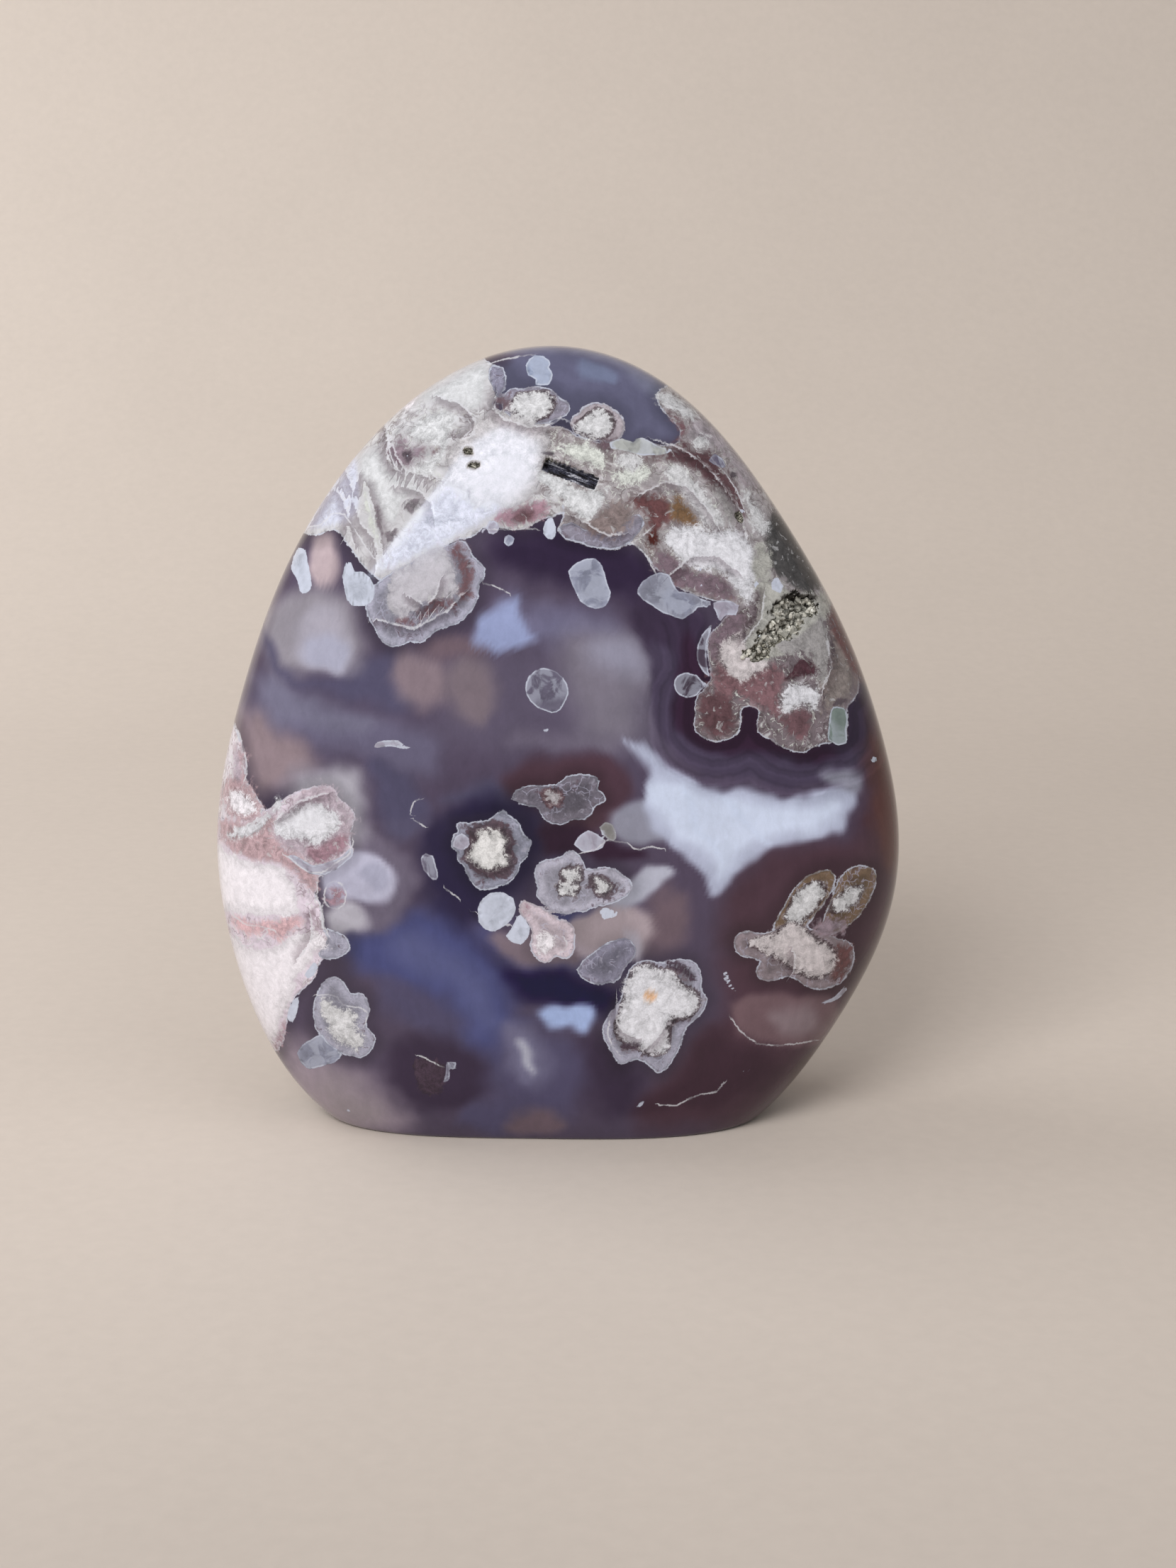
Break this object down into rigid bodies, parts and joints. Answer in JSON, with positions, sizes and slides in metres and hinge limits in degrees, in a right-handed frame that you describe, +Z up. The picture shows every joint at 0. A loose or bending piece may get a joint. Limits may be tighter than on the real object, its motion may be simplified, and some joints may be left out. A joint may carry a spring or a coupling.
{
  "type": "polished flower agate freeform",
  "caption": "Polished egg-shaped slab of blue flower agate that stands on a flat cut foot, for display on a shelf or table.",
  "frame": {"origin": "middle of the stone's extent in X and Y, at the level of its flat foot", "axes": "+Z up, +X to the right of the front face, +Y from the front face towards the back"},
  "size_m": [0.096, 0.0422, 0.1076],
  "materials": {
    "agate": "high polish; blue-violet translucent agate with white, pink and brown flower-shaped inclusions"
  },
  "bodies": {
    "root": {"agate_freeform": "agate"}
  },
  "joints": []
}
